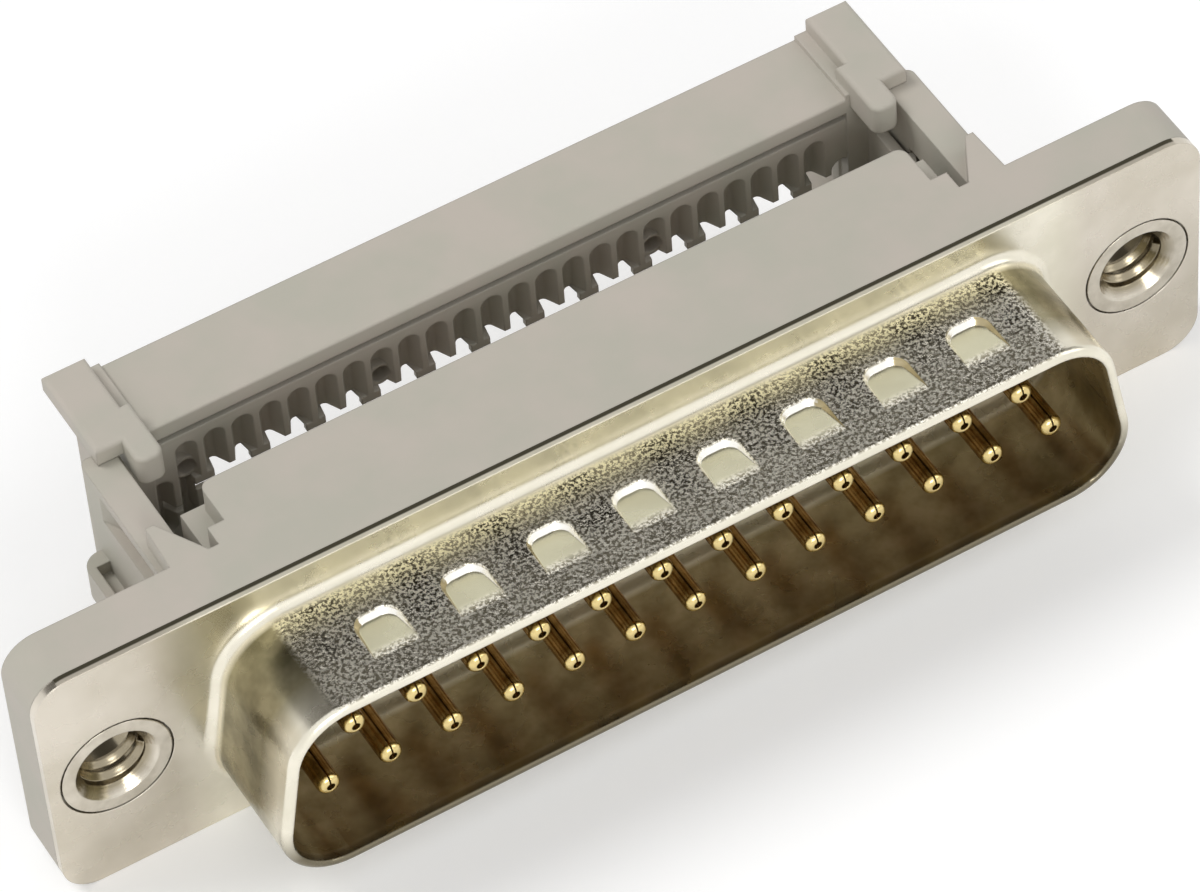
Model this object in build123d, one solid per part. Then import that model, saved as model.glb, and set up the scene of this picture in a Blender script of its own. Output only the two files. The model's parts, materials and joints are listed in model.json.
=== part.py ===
from build123d import *
import math
import os

os.makedirs("parts", exist_ok=True)

# D-sub plug, 25 way, for flat ribbon cable, with its cover in the open position.
# X runs along the connector, the mating side faces -Y and Z is up.
# The origin is the middle of the front face of the metal flange. Sizes are in millimetres.

# The ribbon's wires set the length of everything: block, then cover and arms, then holes and hood
contact_half_count = 12
fork_pitch = 1.27
comb_end_wall = 0.075
comb_to_block = 0.15
block_to_cover = 0.04
block_to_step = 0.75
block_to_shoulder = 0.95
comb_half_length = (contact_half_count + 0.5) * fork_pitch + comb_end_wall
block_half_length = comb_half_length + comb_to_block
step_half_length = block_half_length + block_to_step
shoulder_half_length = block_half_length + block_to_shoulder
leg_play = 0.07
leg_thick = 0.48
leg_gap = 0.15
arm_thick = 1.45
lug_reach = 1.0
insert_d = 4.8
lug_to_insert = 0.92
cover_half_length = block_half_length + block_to_cover
leg_inner = shoulder_half_length + leg_play
leg_outer = leg_inner + leg_thick
arm_inner = leg_outer + leg_gap
arm_outer = arm_inner + arm_thick
lug_outer = arm_outer + lug_reach
hole_x = lug_outer + lug_to_insert + insert_d / 2
hole_to_end = 3.0
flange_length = 2 * (hole_x + hole_to_end)

# Flange sizes shared by the metal shell and the plastic housing
flange_height = 12.55
flange_corner = 1.6
half_height = flange_height / 2

# Metal shell
sheet = 0.4
shell_hole_d = insert_d + 0.18
hole_to_hood = 4.04
hood_width = 2 * (hole_x - hole_to_hood)
hood_height = 8.36
hood_side_angle = 10
hood_corner = 2.4
hood_wall = 0.45
hood_reach = 5.75
hood_base_radius = 0.45
rim_outer_radius = 0.3
rim_inner_radius = 0.12

# Dimples pressed into the top of the hood
dimple_count = 8
dimple_to_hood_side = 6.075
dimple_pitch = (hood_width - 2 * dimple_to_hood_side) / (dimple_count - 1)
dimple_shift = 0.38
dimple_width = 2.0
dimple_corner = 0.7
dimple_slope = 38
dimple_bevel = 0.2
dimple_depth = 0.32
dimple_rear = -2.05
dimple_front = -4.3

# Threaded inserts, 4-40 thread
insert_mouth_d = 3.65
thread_wall_d = 2.84
insert_fit = 0.02

# Plastic housing
plate_rear = 2.78
nose_gap = 0.5
block_rear = 5.88
block_corner = 0.45
step_rear = 3.73
shoulder_rear = 5.85
shoulder_half_height = 5.0
comb_rear = 7.25
comb_half_height = 1.7

# Side arms of the housing, measured for the right side and mirrored
arm_half_height = 5.2
arm_rear = 10.26
arm_rear_round = 0.35
gusset_rear = 5.0
gusset_plan = [(arm_outer - 1.9, plate_rear), (arm_outer - 0.2, plate_rear),
               (arm_outer - 0.3, gusset_rear), (arm_outer - 0.67, gusset_rear)]
arm_groove_low = 3.3
arm_groove_high = 4.7
arm_groove_depth = 0.5
arm_groove_end = 8.6
arm_groove_fade = 1.0
lug_half_height = 0.8
lug_rear = 9.3
lug_corner = 0.8
lug_pocket_outer = lug_outer - 0.4
lug_pocket_rear = 8.6
lug_pocket_depth = 0.62

# Latch: a slot in each arm and a barbed leg of the cover that runs in it
latch_slot_depth = 0.42
latch_slot_play = 0.2
leg_half_height = 3.0
leg_front = 7.2
barb_reach = 0.35
barb_length = 0.8
barb_play = 0.05

# Contacts
pin_to_hood_side = 2.86
pin_step = (hood_width / 2 - pin_to_hood_side) / contact_half_count
pin_row_z = 1.42
pin_d = 1.0
pin_tip = -4.4
pin_tip_round = 0.3
pin_hollow_d = 0.36
pin_hollow_depth = 0.7
pin_seam = 0.07
pin_seam_end = 0.9
pin_end = 1.8
tail_width = 0.7
tail_start = 1.3
contact_sheet = 0.3
fork_row_z = 0.4
fork_width = 0.84
fork_start = 4.2
fork_tip = 9.35
fork_slot = 0.25
fork_slot_end = 7.3
fork_mouth = 0.5
contact_fit = 0.02

# Cover, in the open position
cover_rear = 14.3
cover_flange_front = 10.28
cover_flange_low = 4.25
cover_flange_high = 5.04
cover_rear_chamfer = 0.4
cover_edge_round = 0.22
flange_edge_round = 0.12
web_front = 10.38
web_thick = 1.15
web_groove_low = 3.83
web_groove_depth = 0.8
flute_half_width = 0.5
flute_apex = 1.0
flute_floor_round = 0.25
flute_top = 3.3
end_flute_top = 1.6
window_half_height = 0.9
bar_half_width = 0.44
bar_half_base = 0.56
bar_thick = 0.25
bar_depth = 0.75
bar_half_height = 0.98
fork_play = 0.03

# Round recesses in three of the grooves, counted in wires from the middle
recess_places = (-11.5, -4.5, 5.5)
recess_z = 1.5
recess_d = 0.86
recess_rim = 0.14
recess_rim_front = 0.3

# End blocks of the cover, measured for the right side and mirrored
plateau_inner = cover_half_length + 0.56
plateau_outer = arm_outer - 0.55
plateau_low = 5.25
plateau_high = 6.07
lip_front = 9.64
ledge_high = 5.28
bump_inner = cover_half_length + 0.16
bump_outer = bump_inner + 1.2
bump_low = 4.6
bump_front = 8.25
bump_round = 0.45

over = 1.0


def block(x0, x1, y0, y1, z0, z1):
    """A box between two limits on each axis."""
    middle = Pos((x0 + x1) / 2, (y0 + y1) / 2, (z0 + z1) / 2)
    return middle * Box(x1 - x0, y1 - y0, z1 - z0)


def along_x(points, x0, x1):
    """An outline of Y and Z points carried along X."""
    return extrude(Plane.YZ.offset(x0) * Polygon(*points, align=None), x1 - x0)


def along_y(outline, y0, y1):
    """An outline drawn in X and Z carried along Y."""
    return extrude(Plane.XZ.offset(-y1) * outline, y1 - y0)


def along_z(points, z0, z1):
    """An outline of X and Y points carried along Z."""
    return extrude(Plane.XY.offset(z0) * Polygon(*points, align=None), z1 - z0)


def rod(x, z, radius, y0, y1):
    """A round bar along Y."""
    return Pos(x, 0, z) * along_y(Circle(radius), y0, y1)


def other_end(piece):
    return mirror(piece, about=Plane.YZ)


def other_side(piece):
    return mirror(piece, about=Plane.XY)


def hood_outline(grow):
    """The D of the hood's inner wall, moved outward by grow. The wide side is at the bottom."""
    high = hood_height / 2
    wide = hood_width / 2
    narrow = wide - hood_height * math.tan(math.radians(hood_side_angle))
    corners = Polygon((-wide, -high), (wide, -high), (narrow, high), (-narrow, high), align=None)
    inner = fillet(corners.vertices(), hood_corner)
    return offset(inner, grow) if grow else inner


def dimple_cutter(x):
    """The pressed pocket: sloped sides, round corners, deep at the rear and fading out toward the rim."""
    top = hood_height / 2 + hood_wall
    length = dimple_rear - dimple_front + 2 * over
    outline = Pos(x, dimple_rear - length / 2, top) * RectangleRounded(dimple_width, length, dimple_corner)
    pocket = extrude(outline, dimple_depth + dimple_bevel, dir=(0, 0, -1), taper=dimple_slope)
    wedge = along_x([(dimple_front, top), (dimple_rear, top - dimple_depth),
                     (dimple_rear + over, top - dimple_depth), (dimple_rear + over, top)],
                    x - dimple_width, x + dimple_width)
    return pocket & wedge


def dimple_bump(x):
    """The same wedge on the inner wall, so that the sheet keeps its thickness."""
    inner = hood_height / 2
    low = inner - dimple_depth
    side = dimple_width / 2 + hood_wall / 2
    rear = dimple_rear + hood_wall / 2
    profile = along_x([(dimple_front - dimple_bevel, inner), (dimple_rear, low), (rear, low),
                       (rear + dimple_bevel, inner), (rear + dimple_bevel, inner + hood_wall / 2),
                       (dimple_front - dimple_bevel, inner + hood_wall / 2)], x - side, x + side)
    section = Polygon((x - side + dimple_bevel, low), (x + side - dimple_bevel, low), (x + side, inner),
                      (x + side, inner + hood_wall / 2), (x - side, inner + hood_wall / 2),
                      (x - side, inner), align=None)
    return profile & along_y(section, dimple_front - over, dimple_rear + over)


def front_shell():
    shell = along_y(RectangleRounded(flange_length, flange_height, flange_corner), 0, sheet)
    shell += along_y(hood_outline(hood_wall), -hood_reach, 0)
    base = [edge for edge in shell.edges()
            if abs(edge.center().Y) < 0.01 and abs(edge.center().Z) < half_height - 0.5
            and abs(edge.center().X) < hole_x]
    shell = fillet(base, hood_base_radius)
    shell -= along_y(hood_outline(0), -hood_reach - over, sheet + over)
    for side in (-1, 1):
        shell -= rod(side * hole_x, 0, shell_hole_d / 2, -over, sheet + over)
    mouth = shell.faces().sort_by(Axis.Y)[0]
    shell = fillet(mouth.outer_wire().edges(), rim_outer_radius)
    mouth = shell.faces().filter_by(Axis.Y).sort_by(Axis.Y)[0]
    shell = fillet(mouth.inner_wires()[0].edges(), rim_inner_radius)
    for number in range(dimple_count):
        x = (number - (dimple_count - 1) / 2) * dimple_pitch + dimple_shift
        bump, cutter = dimple_bump(x), dimple_cutter(x)
        shell = shell + bump - cutter
    return shell


def threaded_insert(side):
    x = side * hole_x
    chamfer_depth = (insert_mouth_d - thread_wall_d) / 2
    profile = Polygon((thread_wall_d / 2, chamfer_depth), (insert_mouth_d / 2, 0), (insert_d / 2, 0),
                      (insert_d / 2, plate_rear), (thread_wall_d / 2, plate_rear), align=None)
    return Pos(x, 0, 0) * revolve(profile, Axis.Y)


def tail_outline(k, grow):
    """The flat strip that leads from the pin's place to the fork's place."""
    pin_x, fork_x = k * pin_step, k * fork_pitch
    pin_side, fork_side = tail_width / 2 + grow, fork_width / 2 + grow
    return [(pin_x - pin_side, tail_start - grow), (pin_x + pin_side, tail_start - grow),
            (pin_x + pin_side, pin_end), (fork_x + fork_side, fork_start), (fork_x - fork_side, fork_start),
            (pin_x - pin_side, pin_end)]


def contact_stock(k, grow, front, rear):
    """Contact k without its slots; with some grow it is also the hollow the housing needs."""
    row = -1 if k % 2 == 0 else 1
    pin_x, fork_x = k * pin_step, k * fork_pitch
    near = fork_row_z - contact_sheet / 2 - grow
    far = fork_row_z + contact_sheet / 2 + grow
    stock = rod(pin_x, pin_row_z, pin_d / 2 + grow, front, pin_end + grow)
    stock += block(pin_x - tail_width / 2 - grow, pin_x + tail_width / 2 + grow,
                   tail_start - grow, pin_end + grow, near, pin_row_z)
    stock += along_z(tail_outline(k, grow), near, far)
    stock += block(fork_x - fork_width / 2 - grow, fork_x + fork_width / 2 + grow,
                   fork_start, rear, near, far)
    return stock if row > 0 else other_side(stock)


def contact(k):
    row = -1 if k % 2 == 0 else 1
    pin_x, fork_x = k * pin_step, k * fork_pitch
    piece = contact_stock(k, 0, pin_tip, fork_tip)
    piece = fillet(piece.edges().sort_by(Axis.Y)[0], pin_tip_round)
    piece -= rod(pin_x, row * pin_row_z, pin_hollow_d / 2, pin_tip - over, pin_tip + pin_hollow_depth)
    piece -= block(pin_x - pin_seam / 2, pin_x + pin_seam / 2, pin_tip - over, pin_seam_end,
                   row * pin_row_z, row * pin_row_z + pin_d)
    piece -= block(fork_x - fork_slot / 2, fork_x + fork_slot / 2,
                   fork_slot_end, fork_tip + over, -over, over)
    mouth = [(fork_x - fork_slot / 2, fork_tip - fork_mouth), (fork_x + fork_slot / 2, fork_tip - fork_mouth),
             (fork_x + fork_width / 2, fork_tip), (fork_x - fork_width / 2, fork_tip)]
    return piece - along_z(mouth, -over, over)


def housing_arm():
    """The right arm with its gusset, grooves, lug and latch slot."""
    arm = block(arm_inner, arm_outer, plate_rear, arm_rear, -arm_half_height, arm_half_height)
    arm = fillet(arm.edges().filter_by(Axis.Z).sort_by(Axis.Y)[-2:], arm_rear_round)
    arm += along_z(gusset_plan, -half_height, half_height)
    lug_plan = Polygon((arm_inner + over, plate_rear), (lug_outer, plate_rear), (lug_outer, lug_rear),
                       (arm_inner + over, lug_rear), align=None)
    lug_plan = fillet(lug_plan.vertices().sort_by(Axis.X)[-2:].sort_by(Axis.Y)[-1], lug_corner)
    arm += Pos(0, 0, -lug_half_height) * extrude(lug_plan, 2 * lug_half_height)
    pocket = block(arm_outer, lug_pocket_outer, plate_rear, lug_pocket_rear,
                   lug_half_height - lug_pocket_depth, lug_half_height + over)
    floor = arm_outer - arm_groove_depth
    groove = along_z([(floor, plate_rear), (arm_outer + over, plate_rear), (arm_outer + over, arm_groove_end),
                      (arm_outer, arm_groove_end), (floor, arm_groove_end - arm_groove_fade)],
                     arm_groove_low, arm_groove_high)
    arm -= [pocket, other_side(pocket), groove, other_side(groove)]
    reach = leg_half_height + latch_slot_play
    arm -= block(leg_outer - over, arm_inner + latch_slot_depth, plate_rear,
                 leg_front + barb_length + barb_play, -reach, reach)
    return arm


def housing():
    body = along_y(RectangleRounded(flange_length, flange_height, flange_corner), sheet, plate_rear)
    middle = block(-block_half_length, block_half_length, plate_rear, block_rear, -half_height, half_height)
    body += fillet(middle.edges().filter_by(Axis.Z).sort_by(Axis.Y)[-2:], block_corner)
    body += block(-step_half_length, step_half_length, plate_rear, step_rear, -half_height, half_height)
    body += block(-shoulder_half_length, shoulder_half_length, plate_rear, shoulder_rear,
                  -shoulder_half_height, shoulder_half_height)
    body += block(-comb_half_length, comb_half_length, plate_rear, comb_rear,
                  -comb_half_height, comb_half_height)
    body += along_y(hood_outline(-nose_gap), 0, sheet)
    arm = housing_arm()
    body += [arm, other_end(arm)]
    for side in (-1, 1):
        body -= rod(side * hole_x, 0, insert_d / 2 + insert_fit, 0, plate_rear + over)
    hollows = [contact_stock(k, contact_fit, -over, comb_rear + over)
               for k in range(-contact_half_count, contact_half_count + 1)]
    return body - hollows


def flute(x, top):
    """One upright groove beside the wires, a V with a round floor and arched ends."""
    plan = Polygon((-flute_half_width, 0), (-flute_half_width, -over), (flute_half_width, -over),
                   (flute_half_width, 0), (0, flute_apex), align=None)
    plan = fillet(plan.vertices().sort_by(Axis.Y)[-1], flute_floor_round)
    groove = Pos(0, 0, -top) * extrude(plan, 2 * top)
    arch = SlotOverall(2 * top, 2 * flute_half_width, rotation=90)
    return Pos(x, web_front, 0) * (groove & along_y(arch, -over, flute_apex))


def bar(x):
    """The wide foot of every second ridge, which crosses the window."""
    plan = [(-bar_half_width, 0), (bar_half_width, 0),
            (bar_half_base, bar_depth), (-bar_half_base, bar_depth)]
    return Pos(x, web_front, 0) * along_z(plan, -bar_half_height, bar_half_height)


def web_opening(k, half_length, low, high):
    """An opening through the web, in the middle of wire k."""
    middle = k * fork_pitch
    return block(middle - half_length, middle + half_length, web_front - over, web_front + web_thick + over,
                 low, high)


def web_window(k):
    """The window on both sides of tooth k, from bar to bar."""
    return web_opening(k, fork_pitch - bar_half_width, -window_half_height, window_half_height)


def fork_opening(k):
    """The small opening that lets one fork through where no window does, when the cover closes."""
    middle_z = -fork_row_z if k % 2 == 0 else fork_row_z
    half_height = contact_sheet / 2 + fork_play
    return web_opening(k, fork_width / 2 + fork_play, middle_z - half_height, middle_z + half_height)


def ribbed_web():
    """The web with its grooves, and windows between the bars where the contact forks reach in."""
    last = contact_half_count
    web = block(-cover_half_length, cover_half_length, web_front, web_front + web_thick,
                -cover_flange_low, cover_flange_low)
    web -= [flute((k + 0.5) * fork_pitch, flute_top) for k in range(-last, last)]
    web -= [flute(side * (last + 0.5) * fork_pitch, end_flute_top) for side in (-1, 1)]
    for place in recess_places:
        x = place * fork_pitch
        web += rod(x, recess_z, recess_d / 2 + recess_rim,
                   web_front + recess_rim_front, web_front + web_thick)
        web -= rod(x, recess_z, recess_d / 2, web_front - over, web_front + flute_apex)
    web += [bar(k * fork_pitch) for k in range(1 - last, last, 2)]
    web -= [web_window(k) for k in range(2 - last, last + 1, 2)]
    web -= [fork_opening(k) for k in [-last, *range(1 - last, last, 2)]]
    first, reach = (1 - last) * fork_pitch - bar_half_width, (last + 1) * fork_pitch - bar_half_width
    return web - block(first, reach, web_front + bar_thick, web_front + web_thick + over,
                       -window_half_height, window_half_height)


def cover_top_end():
    """The raised upper part of the right end block."""
    plateau = block(plateau_inner, plateau_outer, lip_front, cover_rear, plateau_low, plateau_high)
    plateau = fillet(plateau.faces().sort_by(Axis.Z)[-1].edges(), cover_edge_round)
    bump = block(bump_inner, bump_outer, bump_front, cover_flange_front + over, bump_low, plateau_high)
    bump = fillet(bump.edges().filter_by(Axis.Z).sort_by(Axis.Y)[:2], bump_round)
    top = bump.faces().sort_by(Axis.Z)[-1]
    bump = fillet(top.edges(), cover_edge_round)
    return plateau + bump


def cover_end():
    """The right end block with its leg and barb."""
    wall = block(cover_half_length - over, plateau_inner, cover_flange_front, cover_rear,
                 -ledge_high, ledge_high)
    wall += block(cover_half_length, leg_outer, cover_flange_front, cover_rear, -plateau_low, plateau_low)
    wall -= block(cover_half_length - 2 * over, cover_half_length, web_front - over, cover_rear + over,
                  -ledge_high - over, ledge_high + over)
    wall += cover_top_end()
    wall += block(leg_inner, leg_outer, leg_front, cover_flange_front, -leg_half_height, leg_half_height)
    barb_rear = leg_front + barb_length
    barb = [(leg_inner, leg_front), (leg_outer, leg_front), (leg_outer + barb_reach, barb_rear - barb_play),
            (leg_outer + barb_reach, barb_rear), (leg_inner, barb_rear)]
    wall += along_z(barb, -leg_half_height, leg_half_height)
    return wall


def cover():
    flange = block(-cover_half_length, cover_half_length, cover_flange_front, cover_rear,
                   cover_flange_low, cover_flange_high)
    rear_edges = flange.edges().filter_by(Axis.X).sort_by(Axis.Y)[-2:]
    flange = chamfer(rear_edges.sort_by(Axis.Z)[0], cover_rear_chamfer)
    front_edges = flange.edges().filter_by(Axis.X).sort_by(Axis.Y)[:2]
    flange = fillet(front_edges.sort_by(Axis.Z)[-1], flange_edge_round)
    body = ribbed_web() + [flange, other_side(flange)]
    line = block(-cover_half_length, cover_half_length, web_front - over, web_front + web_groove_depth,
                 web_groove_low, cover_flange_low)
    body -= [line, other_side(line)]
    end = cover_end()
    return body + [end, other_end(end)]


pieces = {
    "front_shell": front_shell(),
    "housing": housing(),
    "cover": cover(),
    "threaded_insert_left": threaded_insert(-1),
    "threaded_insert_right": threaded_insert(1),
}
for k in range(-contact_half_count, contact_half_count + 1):
    pieces[f"contact_{k + contact_half_count + 1:02d}"] = contact(k)

for name, piece in pieces.items():
    export_step(piece, f"parts/{name}.step")
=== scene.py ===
# %% [markdown]
# # A ribbon-cable connector, dressed for its portrait
# The object is a D-shaped plug: a pressed metal front with a hood, gold pins inside it, a grey plastic
# body and a plastic cover that clamps a flat cable. The solid model already gives every size. This script
# loads it as a fixed frame and adds what a solid model doesn't have: finishes, threads, light and a camera.

# %% Load the solid model
import json
import math

import bpy
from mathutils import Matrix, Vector


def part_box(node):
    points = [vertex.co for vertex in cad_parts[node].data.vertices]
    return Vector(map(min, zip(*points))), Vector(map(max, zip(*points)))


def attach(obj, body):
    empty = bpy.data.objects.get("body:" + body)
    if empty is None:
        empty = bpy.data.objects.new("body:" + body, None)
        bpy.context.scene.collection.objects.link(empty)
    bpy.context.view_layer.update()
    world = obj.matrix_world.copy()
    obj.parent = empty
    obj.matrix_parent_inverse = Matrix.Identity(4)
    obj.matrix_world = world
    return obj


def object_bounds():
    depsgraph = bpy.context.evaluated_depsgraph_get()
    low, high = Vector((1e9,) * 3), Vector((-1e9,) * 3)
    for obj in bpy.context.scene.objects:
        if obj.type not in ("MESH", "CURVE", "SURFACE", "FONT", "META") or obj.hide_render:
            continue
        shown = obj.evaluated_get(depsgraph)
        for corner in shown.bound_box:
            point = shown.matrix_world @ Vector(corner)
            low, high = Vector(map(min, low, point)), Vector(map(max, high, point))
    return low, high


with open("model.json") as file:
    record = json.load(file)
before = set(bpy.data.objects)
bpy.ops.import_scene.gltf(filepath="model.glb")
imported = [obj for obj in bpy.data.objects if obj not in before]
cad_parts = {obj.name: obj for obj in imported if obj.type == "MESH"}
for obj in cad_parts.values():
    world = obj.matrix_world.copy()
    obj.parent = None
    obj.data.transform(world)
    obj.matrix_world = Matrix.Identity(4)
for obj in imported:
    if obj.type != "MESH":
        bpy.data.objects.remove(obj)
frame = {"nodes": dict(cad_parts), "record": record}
solid_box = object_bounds()
nodes = frame["nodes"]
mm = 0.001
print("pieces of the solid model:", len(nodes))

# %% [markdown]
# The object is only five centimetres long, and it was photographed with a long lens, so its long edges stay
# almost parallel. The camera gets that same place, turn and lens. A wide lens close by would make the near
# end of the flange look too big.

# %% Camera
camera_place = (-0.0805, -0.1570, 0.21267)
camera_degrees = (40.1267, 3.1707, -30.4586)
lens_mm, sensor_mm = 209.03, 36
nearest, farthest = 0.01, 10

bpy.ops.object.select_all(action="DESELECT")
bpy.ops.object.camera_add(location=camera_place, rotation=[math.radians(a) for a in camera_degrees])
camera = bpy.context.object
camera.name = "portrait_camera"
camera.data.sensor_fit = "HORIZONTAL"
camera.data.sensor_width = sensor_mm
camera.data.lens = lens_mm
camera.data.clip_start, camera.data.clip_end = nearest, farthest
bpy.context.scene.camera = camera
print("camera is", round(camera.location.length, 3), "m from the connector")

# %% [markdown]
# A shader node group works like a function: it is built once, with named inputs and outputs, and every
# material can place it with its own values. One helper makes a group and its two end nodes, one makes a
# material and one places a group, so that each effect below is only a few lines.

# %% Helpers for node groups and materials
FLOAT, COLOUR, VECTOR = "NodeSocketFloat", "NodeSocketColor", "NodeSocketVector"


def new_group(name, inputs, outputs):
    """An empty node group with the given sockets. Returns the group and its two end nodes."""
    group = bpy.data.node_groups.new(name, "ShaderNodeTree")
    for label, kind, value in inputs:
        socket = group.interface.new_socket(label, in_out="INPUT", socket_type=kind)
        if value is not None:
            socket.default_value = value
    for label, kind in outputs:
        group.interface.new_socket(label, in_out="OUTPUT", socket_type=kind)
    return group, group.nodes.new("NodeGroupInput"), group.nodes.new("NodeGroupOutput")


def new_material(name):
    """A material with a Principled shader and Object coordinates. Returns the parts a recipe needs."""
    material = bpy.data.materials.new(name)
    material.use_nodes = True
    tree = material.node_tree
    shader = tree.nodes["Principled BSDF"]
    place = tree.nodes.new("ShaderNodeTexCoord").outputs["Object"]
    return material, tree, shader, place


def use_group(tree, place, group, **values):
    """One node of the group, fed with the place on the object and the values of its other inputs."""
    node = tree.nodes.new("ShaderNodeGroup")
    node.node_tree = group
    tree.links.new(place, node.inputs["Place"])
    for label, value in values.items():
        node.inputs[label.replace("_", " ").capitalize()].default_value = value
    return node


# %% [markdown]
# Most nodes in a finish do one of a few small jobs: turn a coordinate into a mask, combine two masks, or
# choose between two colours or numbers with a mask. Each job is one function here.

# %% Helpers for masks
def remap(tree, value, low, high):
    """0 at low and 1 at high, clamped."""
    node = tree.nodes.new("ShaderNodeMapRange")
    node.inputs["From Min"].default_value = low
    node.inputs["From Max"].default_value = high
    tree.links.new(value, node.inputs["Value"])
    return node.outputs["Result"]


def between(tree, mask, low, high):
    """The number low where the mask is 0 and high where it is 1."""
    node = tree.nodes.new("ShaderNodeMapRange")
    node.inputs["To Min"].default_value = low
    node.inputs["To Max"].default_value = high
    tree.links.new(mask, node.inputs["Value"])
    return node.outputs["Result"]


def maths(tree, operation, first, second=None):
    """A Math node on one socket, or on a socket and a second socket or number."""
    node = tree.nodes.new("ShaderNodeMath")
    node.operation = operation
    tree.links.new(first, node.inputs[0])
    if isinstance(second, float):
        node.inputs[1].default_value = second
    elif second is not None:
        tree.links.new(second, node.inputs[1])
    return node.outputs["Value"]


def overlap(tree, first, *others):
    """1 only where every one of the masks is 1."""
    for other in others:
        first = maths(tree, "MULTIPLY", first, other)
    return first


def mix_colour(tree, mask, first, second):
    """The first colour where the mask is 0 and the second where it is 1. Each is a socket or a colour."""
    node = tree.nodes.new("ShaderNodeMix")
    node.data_type = "RGBA"
    tree.links.new(mask, node.inputs["Factor"])
    for colour, socket in ((first, node.inputs["A"]), (second, node.inputs["B"])):
        if isinstance(colour, tuple):
            socket.default_value = colour
        else:
            tree.links.new(colour, socket)
    return node.outputs["Result"]


def axes(tree, vector):
    """The X, Y and Z of a vector."""
    node = tree.nodes.new("ShaderNodeSeparateXYZ")
    tree.links.new(vector, node.inputs["Vector"])
    return node.outputs["X"], node.outputs["Y"], node.outputs["Z"]


def group_noise(group, ends_in, detail, roughness):
    """Noise at the group's own place and size."""
    noise = group.nodes.new("ShaderNodeTexNoise")
    noise.inputs["Detail"].default_value = detail
    noise.inputs["Roughness"].default_value = roughness
    group.links.new(ends_in.outputs["Place"], noise.inputs["Vector"])
    group.links.new(ends_in.outputs["Size"], noise.inputs["Scale"])
    return noise.outputs["Fac"]


# %% [markdown]
# Real mouldings and plated sheet are never one even colour. This group mixes two colours that are close to
# each other with a soft, large noise, which gives the faint clouds that the plastic and the plating show.

# %% Group: soft clouds of colour
cloud_low, cloud_high = 0.35, 0.65

clouds, ends_in, ends_out = new_group(
    "soft_clouds",
    [("Place", VECTOR, None), ("Size", FLOAT, 300.0),
     ("First colour", COLOUR, None), ("Second colour", COLOUR, None)],
    [("Colour", COLOUR), ("Mask", FLOAT)])
cloud = remap(clouds, group_noise(clouds, ends_in, detail=3, roughness=0.6), cloud_low, cloud_high)
blend = mix_colour(clouds, cloud, ends_in.outputs["First colour"], ends_in.outputs["Second colour"])
clouds.links.new(blend, ends_out.inputs["Colour"])
clouds.links.new(cloud, ends_out.inputs["Mask"])


def two_tones(tree, place, size, first, second):
    """Soft clouds of two colours."""
    return use_group(tree, place, clouds, size=size, first_colour=first, second_colour=second)


print("group", clouds.name, "has", len(clouds.nodes), "nodes")

# %% [markdown]
# Grain is height, not colour: fine noise drives a Bump node, and the light does the rest. The same group
# serves the matte plastic, the plated sheet and the rough drawn skin of the hood, each with its own size
# and strength. A mask lets a material have grain only where the real metal was stretched.

# %% Group: fine grain
grain, ends_in, ends_out = new_group(
    "fine_grain",
    [("Place", VECTOR, None), ("Size", FLOAT, 5000.0), ("Strength", FLOAT, 0.2), ("Depth", FLOAT, 0.00001),
     ("Mask", FLOAT, 1.0), ("Normal", VECTOR, None)],
    [("Normal", VECTOR)])
height = group_noise(grain, ends_in, detail=4, roughness=0.65)
bump = grain.nodes.new("ShaderNodeBump")
grain.links.new(overlap(grain, height, ends_in.outputs["Mask"]), bump.inputs["Height"])
for label, socket in (("Strength", "Strength"), ("Depth", "Distance"), ("Normal", "Normal")):
    grain.links.new(ends_in.outputs[label], bump.inputs[socket])
grain.links.new(bump.outputs["Normal"], ends_out.inputs["Normal"])
print("group", grain.name, "has", len(grain.nodes), "nodes")

# %% [markdown]
# Speckle marks out the fine sparkle of stretched plating: thousands of tiny facets, most of them dark and a
# few very bright, which the plate's colour paints in as glints on a painted dark reflection. Fine noise is
# pushed to high contrast, which leaves small uneven grains. Cells from scattered points would look like stars
# in a grid.
# The mask is 0 on a painted glint and 1 between the grains.

# %% Group: speckle
grain_edge = 0.12

speckle, ends_in, ends_out = new_group(
    "speckle", [("Place", VECTOR, None), ("Size", FLOAT, 6000.0), ("Amount", FLOAT, 0.5)], [("Mask", FLOAT)])
sharpen = speckle.nodes.new("ShaderNodeMapRange")
sharpen.interpolation_type = "SMOOTHSTEP"
amount = ends_in.outputs["Amount"]
speckle.links.new(group_noise(speckle, ends_in, detail=3, roughness=0.7), sharpen.inputs["Value"])
speckle.links.new(amount, sharpen.inputs["From Min"])
speckle.links.new(maths(speckle, "ADD", amount, grain_edge), sharpen.inputs["From Max"])
speckle.links.new(sharpen.outputs["Result"], ends_out.inputs["Mask"])
print("group", speckle.name, "has", len(speckle.nodes), "nodes")


# %% [markdown]
# A moulded or pressed edge is never knife sharp. Rounding every edge of the solid in mesh would be slow
# and could break it, so the finish does it: a Bevel node bends the normal near an edge by a few
# hundredths of a millimetre, enough to catch a thin highlight.

# %% Helper: rounded edge in the finish
def rounded_edge(tree, radius):
    """The normal, bent near edges as if they had this radius."""
    bevel = tree.nodes.new("ShaderNodeBevel")
    bevel.samples = 6
    bevel.inputs["Radius"].default_value = radius
    return bevel.outputs["Normal"]


# %% [markdown]
# The plastic is a glass-filled grey with a slight warm cast. It is matte, but smooth enough for a broad
# sheen. Clouds of a pinker and a greener grey, a few millimetres wide, keep it from looking painted.

# %% Material: grey plastic
greener_grey, pinker_grey = (0.448, 0.430, 0.366, 1), (0.490, 0.446, 0.390, 1)

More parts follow.
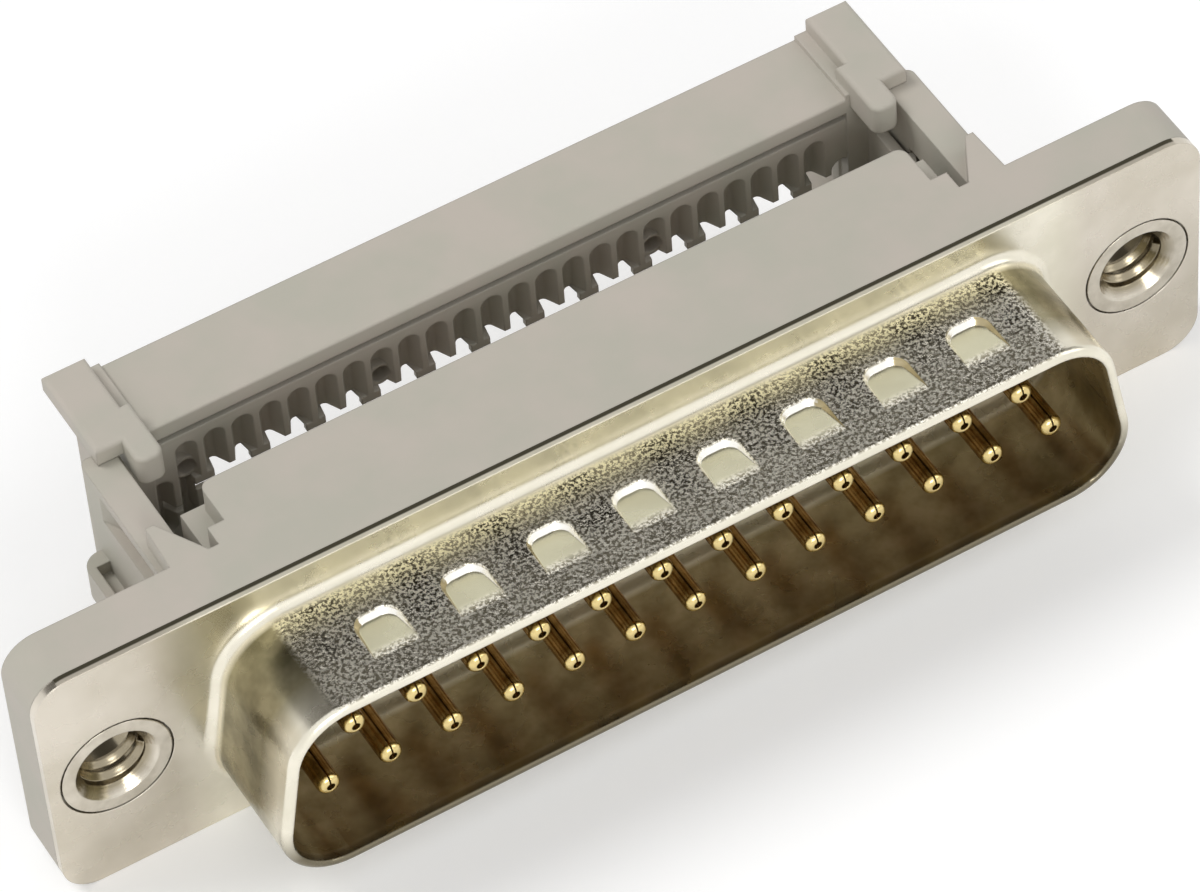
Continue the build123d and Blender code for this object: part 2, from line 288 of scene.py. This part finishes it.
plastic, tree, shader, place = new_material("warm_grey_plastic")
tint = two_tones(tree, place, 260.0, greener_grey, pinker_grey)
skin = use_group(tree, place, grain, size=9000.0, strength=0.25, depth=0.012 * mm)
tree.links.new(rounded_edge(tree, 0.12 * mm), skin.inputs["Normal"])
tree.links.new(tint.outputs["Colour"], shader.inputs["Base Color"])
tree.links.new(skin.outputs["Normal"], shader.inputs["Normal"])
shader.inputs["Roughness"].default_value = 0.55
shader.inputs["Specular IOR Level"].default_value = 0.35
print(plastic.name, "has", len(tree.nodes), "nodes")

# %% [markdown]
# The front is steel sheet with a warm champagne plate. The flange is smooth. The hood was drawn out of the
# same sheet, and stretching leaves its top and bottom with a rough skin, which gets painted glints on a
# painted dark reflection. The floors of the pressed dimples were ironed smooth again; their sloped walls get
# a painted highlight. The hood's ends get a painted olive dark reflection where they meet the flange, and
# inside, the olive-brown plate gets painted shade. The lower rim gets painted shade too. The cut edge of the
# sheet is matte, with painted shade where it meets the plastic. All are found by place: the skin lies at the
# hood's outer height, and inner walls face the connector's middle.

# %% Masks on the plated sheet
plated, tree, shader, place = new_material("champagne_plate")
link = tree.links.new
surface = tree.nodes.new("ShaderNodeNewGeometry").outputs["True Normal"]
across, along, height = axes(tree, place)
off_middle = maths(tree, "ABSOLUTE", across)
off_level = maths(tree, "ABSOLUTE", height)
upright = maths(tree, "ABSOLUTE", axes(tree, surface)[2])
inward = tree.nodes.new("ShaderNodeVectorMath")
inward.operation = "DOT_PRODUCT"
link(place, inward.inputs[0])
link(surface, inward.inputs[1])

# What each mask follows, where it is 0 and where it is 1
zones = {
    "hood": (along, -0.4 * mm, -0.7 * mm),
    "hood face": (off_level, 4.55 * mm, 4.61 * mm),
    "behind rim": (along, -5.6 * mm, -5.2 * mm),
    "at rim": (along, -5.2 * mm, -5.4 * mm),
    "end reflection": (along, -5.0 * mm, -3.6 * mm),
    "dark patch depth": (along, -4.4 * mm, -3.0 * mm),
    "yellow base": (along, -1.9 * mm, -1.1 * mm),
    "between ends": (off_middle, 16.0 * mm, 15.8 * mm),
    "flange ear": (off_middle, 19.5 * mm, 21.2 * mm),
    "lower half": (height, -1.0 * mm, -3.0 * mm),
    "cut edge": (off_level, 6.20 * mm, 6.22 * mm),
    "near plastic": (along, 0.17 * mm, 0.23 * mm),
    "facing middle": (inward.outputs["Value"], 0.0, -0.5 * mm),
    "flat floor": (upright, 0.90, 0.96),
}
mask = {name: remap(tree, *zone) for name, zone in zones.items()}
drawn_skin = overlap(tree, mask["hood"], mask["hood face"])
inner_wall = overlap(tree, mask["facing middle"], mask["behind rim"], mask["hood"])
painted_end_reflection = overlap(tree, mask["hood"], mask["end reflection"])
lower_rim = overlap(tree, mask["at rim"], mask["lower half"])
by_plastic = overlap(tree, mask["cut edge"], mask["near plastic"])
print("masks on the sheet:", len(mask))

# %% [markdown]
# Beside each dimple, on its left, the skin gets a painted dark reflection. The dimples repeat along the
# hood, so a cosine with their pitch puts one dark patch beside each, and soft noise breaks its outline.

# %% Painted dark reflections beside the dimples
dimple_pitch, dark_patch_offset = 3.83 * mm, 0.58 * mm
dark_patch_low, dark_patch_high = -0.4, 0.7
blotch_size, blotch_low, blotch_high = 700, 0.32, 0.55

turn = tree.nodes.new("ShaderNodeMath")
turn.operation = "MULTIPLY_ADD"
turn.inputs[1].default_value = 2 * math.pi / dimple_pitch
turn.inputs[2].default_value = -2 * math.pi * dark_patch_offset / dimple_pitch
link(across, turn.inputs[0])
beside = remap(tree, maths(tree, "COSINE", turn.outputs["Value"]), dark_patch_low, dark_patch_high)
blotches = tree.nodes.new("ShaderNodeTexNoise")
blotches.inputs["Scale"].default_value = blotch_size
blotches.inputs["Detail"].default_value = 3
link(place, blotches.inputs["Vector"])
broken = remap(tree, blotches.outputs["Fac"], blotch_low, blotch_high)
# painted dark reflection: a dark patch of skin beside each dimple
painted_dark_patch = overlap(tree, beside, mask["dark patch depth"], broken)
print("a smudge every", dimple_pitch / mm, "mm")

# %% [markdown]
# The finish is built in layers, like paint: smooth plate first, then each other look where its mask is 1.
# A later layer covers an earlier one, so the painted shade inside comes last.

# %% Material: plated sheet
plate_tones = (0.87, 0.825, 0.70, 1), (0.78, 0.74, 0.61, 1)
ear_tones = (0.71, 0.655, 0.565, 1), (0.59, 0.54, 0.445, 1)
# painted shade inside the hood, over its olive-brown tint
inside_shade_tones = (0.52, 0.44, 0.27, 1), (0.34, 0.28, 0.155, 1)
# painted olive dark reflection on the hood's ends near the flange
end_reflection_tones = (0.40, 0.36, 0.235, 1), (0.19, 0.17, 0.10, 1)
# painted glints and painted dark reflection on the drawn skin, with a darker painted patch beside each dimple
glint_grain, yellow_glint_grain = (0.95, 0.91, 0.80, 1), (0.88, 0.83, 0.60, 1)
reflected_dark_grain, dark_patch_grain = (0.27, 0.245, 0.18, 1), (0.05, 0.042, 0.028, 1)
# painted white highlight on the sloped dimple walls
dimple_wall_highlight, dimple_floor = (1.0, 0.98, 0.92, 1), (0.70, 0.67, 0.49, 1)
# painted shade on the lower rim and in the gap where the cut edge meets the plastic
lower_rim_painted_shade, painted_gap_shade = (0.20, 0.175, 0.12, 1), (0.10, 0.09, 0.06, 1)
plate_roughness, edge_roughness = (0.24, 0.32), 0.6

tint = two_tones(tree, place, 420.0, *plate_tones)
ear = two_tones(tree, place, 180.0, *ear_tones)
inside_shade = two_tones(tree, place, 700.0, *inside_shade_tones)
ends = two_tones(tree, place, 500.0, *end_reflection_tones)
sparkle = use_group(tree, place, speckle, size=6500.0, amount=0.44)
bright = mix_colour(tree, mask["yellow base"], glint_grain, yellow_glint_grain)
dark = mix_colour(tree, painted_dark_patch, reflected_dark_grain, dark_patch_grain)
skin_glint_colour = mix_colour(tree, sparkle.outputs["Mask"], bright, dark)
dimple = mix_colour(tree, mask["flat floor"], dimple_wall_highlight, dimple_floor)
hood_side = mix_colour(tree, mask["between ends"], ends.outputs["Colour"], dimple)
colour = mix_colour(tree, mask["flange ear"], tint.outputs["Colour"], ear.outputs["Colour"])
for where, layer in ((painted_end_reflection, hood_side), (lower_rim, lower_rim_painted_shade), (drawn_skin, skin_glint_colour),
                     (by_plastic, painted_gap_shade), (inner_wall, inside_shade.outputs["Colour"])):
    colour = mix_colour(tree, where, colour, layer)
link(colour, shader.inputs["Base Color"])

fine = use_group(tree, place, grain, size=4000.0, strength=0.12, depth=0.02 * mm)
peel = use_group(tree, place, grain, size=5200.0, strength=0.6, depth=0.04 * mm)
link(rounded_edge(tree, 0.08 * mm), fine.inputs["Normal"])
link(fine.outputs["Normal"], peel.inputs["Normal"])
link(drawn_skin, peel.inputs["Mask"])
link(peel.outputs["Normal"], shader.inputs["Normal"])

smooth = between(tree, tint.outputs["Mask"], *plate_roughness)
matte = maths(tree, "MULTIPLY", mask["cut edge"], edge_roughness)
link(maths(tree, "MAXIMUM", smooth, matte), shader.inputs["Roughness"])
shader.inputs["Metallic"].default_value = 1.0
print(plated.name, "has", len(tree.nodes), "nodes")

# %% [markdown]
# The screw inserts are turned parts with bright plate, with painted shade down in the bore. Turning leaves
# rings that run round the axis, so a wave pattern in rings, very faint, sits on top of the same fine grain.

# %% Material: turned insert
insert_tones = (0.66, 0.61, 0.52, 1), (0.52, 0.475, 0.39, 1)
bore_painted_shade = (0.34, 0.295, 0.21, 1)
insert_x = 23.52 * mm
bore_edge, bore_deep = 1.75 * mm, 1.5 * mm

turned, tree, shader, place = new_material("bright_turned_plate")
link = tree.links.new
mirrored = tree.nodes.new("ShaderNodeVectorMath")
mirrored.operation = "ABSOLUTE"
centred = tree.nodes.new("ShaderNodeMapping")
centred.inputs["Location"].default_value = (-insert_x, 0, 0)
link(place, mirrored.inputs[0])
link(mirrored.outputs["Vector"], centred.inputs["Vector"])
rings = tree.nodes.new("ShaderNodeTexWave")
rings.wave_type = "RINGS"
rings.rings_direction = "Y"
rings.inputs["Scale"].default_value = 2600
rings.inputs["Distortion"].default_value = 1.5
link(centred.outputs["Vector"], rings.inputs["Vector"])
ring_marks = tree.nodes.new("ShaderNodeBump")
ring_marks.inputs["Strength"].default_value = 0.12
ring_marks.inputs["Distance"].default_value = 0.01 * mm
fine = use_group(tree, place, grain, size=3000.0, strength=0.15, depth=0.02 * mm)
link(rounded_edge(tree, 0.08 * mm), fine.inputs["Normal"])
link(rings.outputs["Fac"], ring_marks.inputs["Height"])
link(fine.outputs["Normal"], ring_marks.inputs["Normal"])
link(ring_marks.outputs["Normal"], shader.inputs["Normal"])

flattened = tree.nodes.new("ShaderNodeVectorMath")
flattened.operation = "MULTIPLY"
flattened.inputs[1].default_value = (1, 0, 1)
from_axis = tree.nodes.new("ShaderNodeVectorMath")
from_axis.operation = "LENGTH"
link(centred.outputs["Vector"], flattened.inputs[0])
link(flattened.outputs["Vector"], from_axis.inputs[0])
in_bore = remap(tree, from_axis.outputs["Value"], bore_edge, bore_deep)
tint = two_tones(tree, place, 900.0, *insert_tones)
link(mix_colour(tree, in_bore, tint.outputs["Colour"], bore_painted_shade), shader.inputs["Base Color"])
shader.inputs["Metallic"].default_value = 1.0
shader.inputs["Roughness"].default_value = 0.2
print(turned.name, "has", len(tree.nodes), "nodes")

# %% [markdown]
# The pins are rolled from strip and plated with deep amber gold, with a pale painted highlight at the tips,
# where they catch the light. Metal gets its colour from its base colour alone.

# %% Material: gold
gold_tones = (0.60, 0.38, 0.13, 1), (0.30, 0.175, 0.05, 1)
tip_painted_highlight = (0.76, 0.60, 0.27, 1)
tip_start, tip_full = -3.85 * mm, -4.2 * mm

gold, tree, shader, place = new_material("gold_plate")
tint = two_tones(tree, place, 1500.0, *gold_tones)
near_tip = remap(tree, axes(tree, place)[1], tip_start, tip_full)
tree.links.new(mix_colour(tree, near_tip, tint.outputs["Colour"], tip_painted_highlight), shader.inputs["Base Color"])
fine = use_group(tree, place, grain, size=3500.0, strength=0.2, depth=0.02 * mm)
tree.links.new(rounded_edge(tree, 0.05 * mm), fine.inputs["Normal"])
tree.links.new(fine.outputs["Normal"], shader.inputs["Normal"])
shader.inputs["Metallic"].default_value = 1.0
shader.inputs["Roughness"].default_value = 0.22
print(gold.name, "has", len(tree.nodes), "nodes")

# %% Give the solids their finishes
finish_of = {"plated_shell": plated, "grey_plastic": plastic, "plated_insert": turned, "gold": gold}
slot_of = {part["node"]: part["material_slot"] for part in frame["record"]["subparts"]}
for name, node in nodes.items():
    node.data.materials.clear()
    node.data.materials.append(finish_of[slot_of[name]])
print("finishes given to", len(slot_of), "solids")

# %% [markdown]
# The solid inserts have plain bores. A real thread is one long ridge that climbs round the bore. The Screw
# modifier makes it from a single small triangle: it turns the triangle about an axis and lifts it by one
# pitch each turn. The thread is 4-40, which is forty turns to the inch.

# %% Thread for each insert
pitch = 0.635 * mm
bore = 1.43 * mm
ridge = 0.24 * mm
half_ridge = 0.45 * pitch
sunk = 0.01 * mm
lead_in = 0.45 * mm
thread_margin = 0.5 * mm
steps_per_turn = 40
smooth_below = math.radians(50)


def thread(name, x):
    """The ridge in the bore of the insert of this name, whose axis is at x."""
    low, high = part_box(name)
    start, length = low[1] + lead_in, high[1] - low[1] - thread_margin
    bpy.ops.object.select_all(action="DESELECT")
    bpy.ops.mesh.primitive_circle_add(vertices=3, radius=ridge, fill_type="NOTHING", location=(0, 0, 0))
    wire = bpy.context.object
    wire.name = name + "_thread"
    corners = [(bore - ridge, 0), (bore + sunk, -half_ridge), (bore + sunk, half_ridge)]
    for corner, (radius, height) in zip(wire.data.vertices, corners):
        corner.co = Vector((radius, 0, height))
    climb = wire.modifiers.new("climb", "SCREW")
    climb.axis = "Z"
    climb.screw_offset = pitch
    climb.iterations = int((length - pitch) / pitch)
    climb.steps = climb.render_steps = steps_per_turn
    climb.use_merge_vertices = False
    bpy.ops.object.modifier_apply(modifier=climb.name)
    bpy.ops.object.mode_set(mode="EDIT")
    bpy.ops.mesh.select_all(action="SELECT")
    bpy.ops.mesh.edge_face_add()
    bpy.ops.mesh.select_all(action="SELECT")
    bpy.ops.mesh.normals_make_consistent(inside=False)
    bpy.ops.object.mode_set(mode="OBJECT")
    wire.rotation_euler = (math.radians(-90), 0, 0)
    wire.location = (x, start + half_ridge, 0)
    bpy.ops.object.transform_apply(location=True, rotation=True, scale=True)
    bpy.ops.object.shade_smooth_by_angle(angle=smooth_below)
    wire.data.materials.append(turned)
    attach(wire, "connector")
    return wire


for name in ("threaded_insert_left", "threaded_insert_right"):
    low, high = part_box(name)
    piece = thread(name, (low[0] + high[0]) / 2)
    print(piece.name, "has", len(piece.data.vertices), "points")

# %% [markdown]
# The photograph is a cut-out on white: the ground is white wherever the camera looks. The floor is a pale
# plane just under the connector. Its own colour is almost white, and for camera and mirror rays it also
# glows a little, so that it reads as white without any extra light on the object, while a faint shadow stays.

# %% Floor
floor_size, floor_gap, floor_glow = 3, 0.02 * mm, 0.2

bpy.ops.object.select_all(action="DESELECT")
bpy.ops.mesh.primitive_plane_add(size=floor_size, location=(0, 0, solid_box[0][2] - floor_gap))
floor = bpy.context.object
floor.name = "floor"
paper = bpy.data.materials.new("white_paper")
paper.use_nodes = True
tree = paper.node_tree
shader = tree.nodes["Principled BSDF"]
shader.inputs["Base Color"].default_value = (0.86, 0.86, 0.86, 1)
shader.inputs["Roughness"].default_value = 0.9
shader.inputs["Emission Color"].default_value = (1, 1, 1, 1)
path = tree.nodes.new("ShaderNodeLightPath")
seen = maths(tree, "MAXIMUM", path.outputs["Is Camera Ray"], path.outputs["Is Glossy Ray"])
tree.links.new(maths(tree, "MULTIPLY", seen, floor_glow), shader.inputs["Emission Strength"])
floor.data.materials.append(paper)
print(floor.name, "lies at", round(floor.location.z / mm, 2), "mm")

# %% [markdown]
# The light is even: a white room all round, with a large soft lamp high behind the left shoulder and a
# weaker one at the right. A third stands low in front. It lights the front faces, but the body keeps it out
# of the ribbon gap, so that the ribs in there stay dark. The key has no mirror image, because its glare
# would wash out the dark corners of the hood. To the camera and in mirrors, the room is plain white.

# %% World and lamps
room_light, room_seen = 0.50, 1.0

world = bpy.data.worlds.new("white_room")
bpy.context.scene.world = world
world.use_nodes = True
tree = world.node_tree
sky = tree.nodes["Background"]
sky.inputs["Color"].default_value = (1, 1, 1, 1)
path = tree.nodes.new("ShaderNodeLightPath")
seen = path.outputs["Is Camera Ray"]
for ray in ("Is Glossy Ray", "Is Transmission Ray"):
    seen = maths(tree, "MAXIMUM", seen, path.outputs[ray])
tree.links.new(between(tree, seen, room_light, room_seen), sky.inputs["Strength"])


def lamp(name, place, size, power):
    """A round soft lamp that looks at the connector."""
    bpy.ops.object.select_all(action="DESELECT")
    bpy.ops.object.light_add(type="AREA", location=place)
    light = bpy.context.object
    light.name = name
    light.data.shape = "DISK"
    light.data.size = size
    light.data.energy = power
    light.rotation_euler = (-Vector(place)).to_track_quat("-Z", "Y").to_euler()
    print(name, "gives", power, "W")
    return light


key = lamp("key_lamp", (-0.32, 0.30, 0.62), size=0.35, power=2.5)
key.visible_glossy = False
lamp("fill_lamp", (0.50, -0.25, 0.45), size=0.40, power=0.6)
lamp("front_lamp", (-0.16, -0.62, 0.34), size=0.30, power=1.5)

# %% [markdown]
# In a white room polished metal has nothing dark to mirror and looks like chalk. Photographers hang a dark
# card where the mirror image needs it. This one hangs high behind, where the hood's flat top looks, and ends
# just above the spot where the sloped floors of the dimples look, so that they stay light. It is wide, for
# the hood's round corners. Only mirror rays meet it, so it takes no light away and hides nothing.

# %% Dark card for reflections
card_place, card_size = (0.109, 0.216, 0.437), (1.7, 0.33, 1)

bpy.ops.object.select_all(action="DESELECT")
bpy.ops.mesh.primitive_plane_add(size=1, location=card_place)
card = bpy.context.object
card.name = "dark_card"
card.scale = card_size
card.rotation_euler = (-Vector(card_place)).to_track_quat("Z", "Y").to_euler()
felt = bpy.data.materials.new("dark_felt")
felt.use_nodes = True
shader = felt.node_tree.nodes["Principled BSDF"]
shader.inputs["Base Color"].default_value = (0.05, 0.045, 0.04, 1)
shader.inputs["Roughness"].default_value = 0.9
# the felt glows faintly warm: painted light, seen only in mirror images
shader.inputs["Emission Color"].default_value = (1.0, 0.95, 0.85, 1)
shader.inputs["Emission Strength"].default_value = 0.05
card.data.materials.append(felt)
for kind in ("camera", "diffuse", "transmission", "volume_scatter", "shadow"):
    setattr(card, "visible_" + kind, False)
print(card.name, "hangs", round(card.location.length, 2), "m away")

# %% Colour management
bpy.context.scene.view_settings.view_transform = "Standard"
